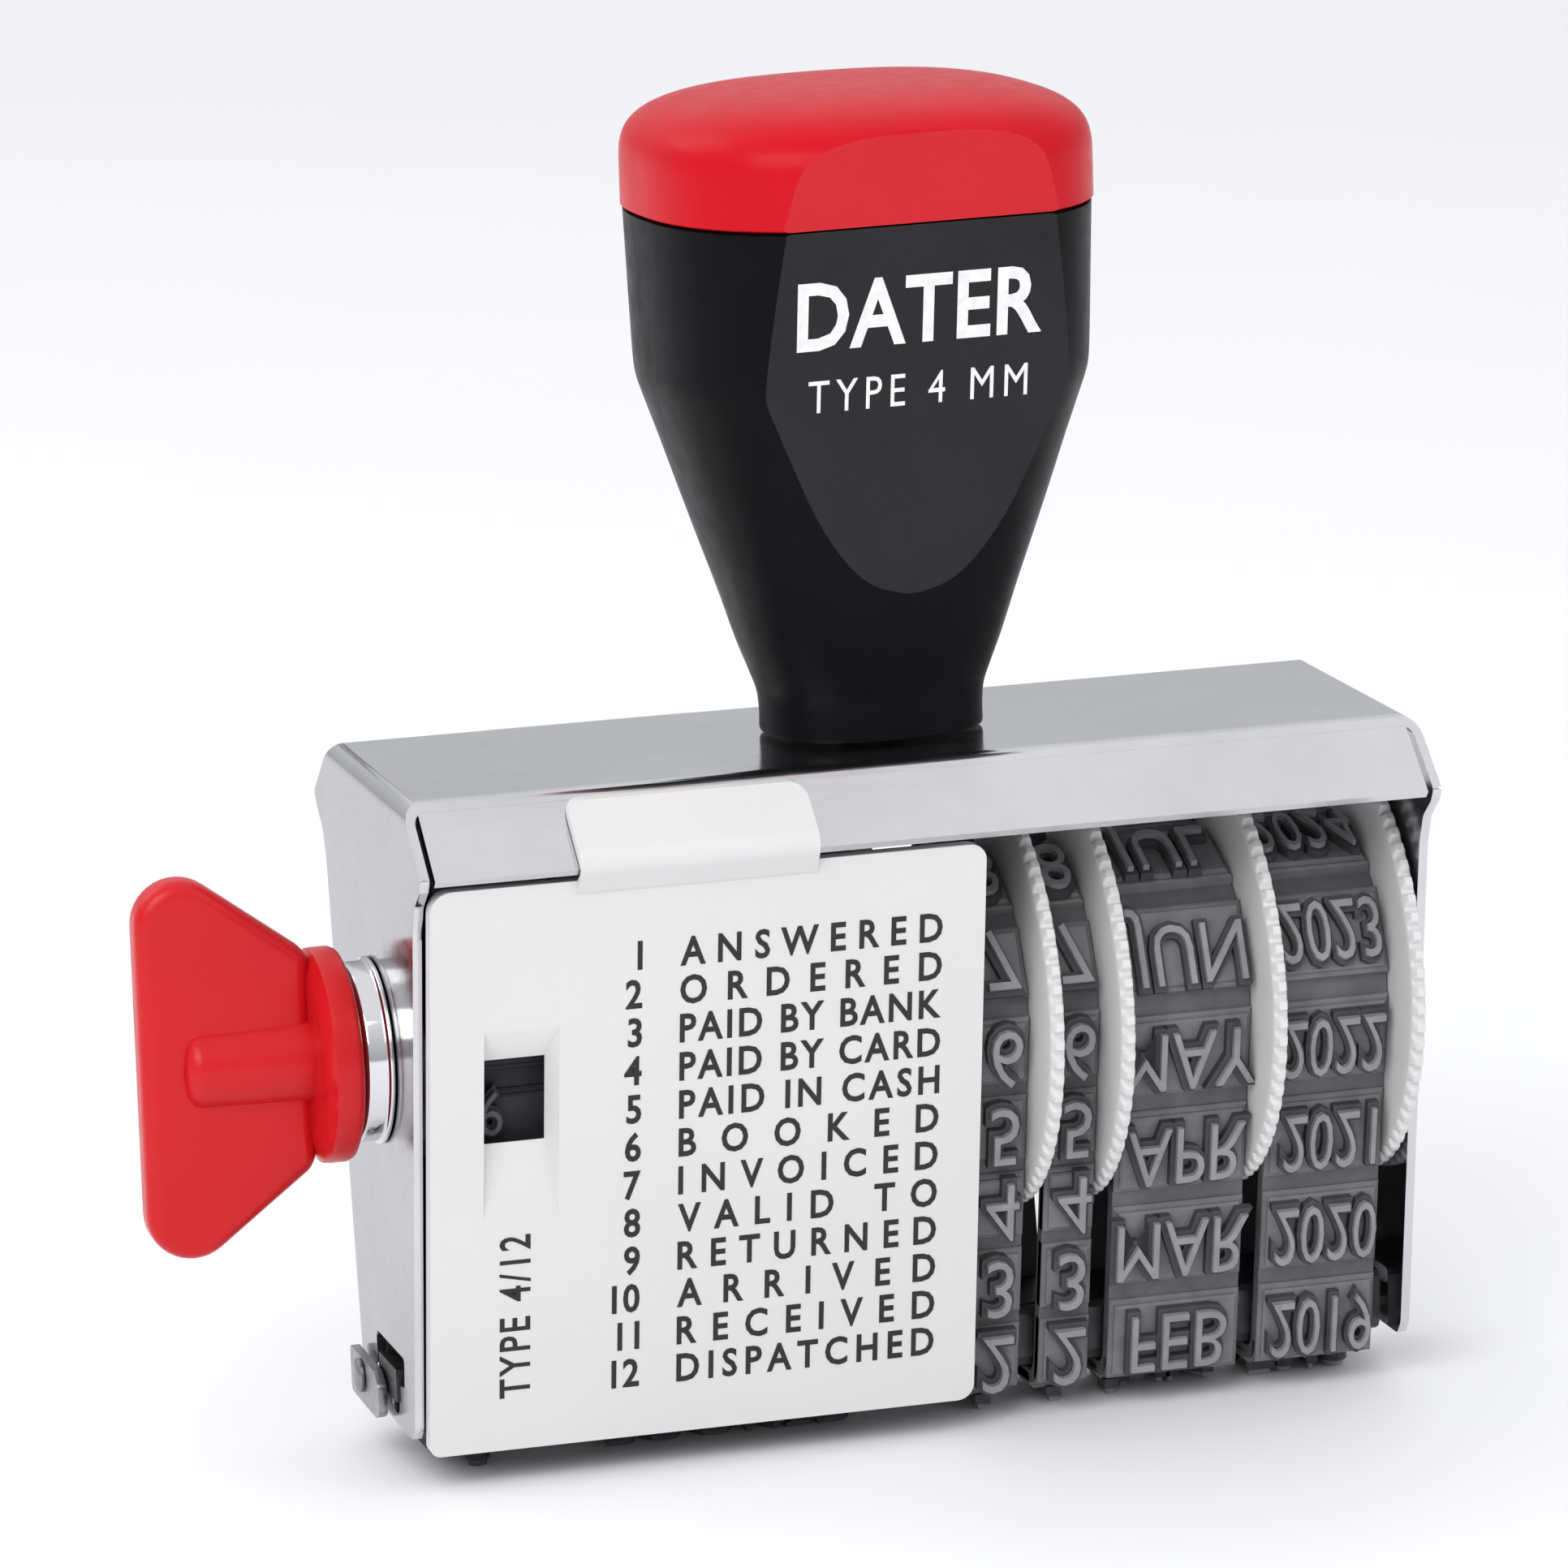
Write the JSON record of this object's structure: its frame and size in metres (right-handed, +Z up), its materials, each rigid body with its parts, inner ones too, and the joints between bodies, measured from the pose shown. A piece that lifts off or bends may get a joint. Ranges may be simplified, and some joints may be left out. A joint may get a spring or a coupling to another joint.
{
  "type": "rotary date stamp",
  "caption": "Self-standing rotary date stamp: knurled wheels turn rubber date bands and a wing knob turns a phrase band in a bent sheet frame under a palm handle.",
  "frame": {"origin": "centre of the print face, on the face of the type block at the bottom and under the handle's axis", "axes": "+X along the stamp away from the wing knob, -Y towards the legend cover, +Z up through the handle"},
  "size_m": [0.0851, 0.0318, 0.0887],
  "materials": {
    "frame_chrome": "bright plated sheet steel",
    "collar_chrome": "bright plated",
    "plain_steel": "plain",
    "zinc_steel": "dull zinc",
    "handle_black": "satin with a fine grain on the flats",
    "cap_red": "satin",
    "knob_red": "semi-gloss",
    "cover_white": "satin, printed",
    "wheel_white": "satin",
    "band_rubber": "moulded"
  },
  "bodies": {
    "stamp_body": {"frame": "frame_chrome", "handle_body": "handle_black", "handle_cap": "cap_red", "handle_screw": "plain_steel", "handle_washer": "zinc_steel", "axle": "plain_steel", "band_phrase": "band_rubber", "band_day_tens": "band_rubber", "band_day_units": "band_rubber", "band_month": "band_rubber", "band_year": "band_rubber", "bridge": "plain_steel", "clip_left": "plain_steel", "clip_right": "plain_steel", "clip_rivet_left": "plain_steel", "clip_rivet_right": "plain_steel", "front_cover": "cover_white", "rear_cover": "cover_white"},
    "phrase_set": {"phrase_drum": "wheel_white", "knob": "knob_red", "knob_collar": "collar_chrome"},
    "wheel_day_tens": {"wheel_day_tens": "wheel_white"},
    "wheel_day_units": {"wheel_day_units": "wheel_white"},
    "wheel_month": {"wheel_month": "wheel_white"},
    "wheel_year": {"wheel_year": "wheel_white"}
  },
  "joints": [
    {"name": "phrase_turn", "type": "hinge", "parent": "stamp_body", "child": "phrase_set", "pos_m": [-0.038, 0, 0.0277], "axis": [1, 0, 0], "continuous": true},
    {"name": "day_tens_turn", "type": "hinge", "parent": "stamp_body", "child": "wheel_day_tens", "pos_m": [0.00785, 0, 0.0277], "axis": [1, 0, 0], "continuous": true},
    {"name": "day_units_turn", "type": "hinge", "parent": "stamp_body", "child": "wheel_day_units", "pos_m": [0.01265, 0, 0.0277], "axis": [1, 0, 0], "continuous": true},
    {"name": "month_turn", "type": "hinge", "parent": "stamp_body", "child": "wheel_month", "pos_m": [0.02305, 0, 0.0277], "axis": [1, 0, 0], "continuous": true},
    {"name": "year_turn", "type": "hinge", "parent": "stamp_body", "child": "wheel_year", "pos_m": [0.0324, 0, 0.0277], "axis": [1, 0, 0], "continuous": true}
  ]
}
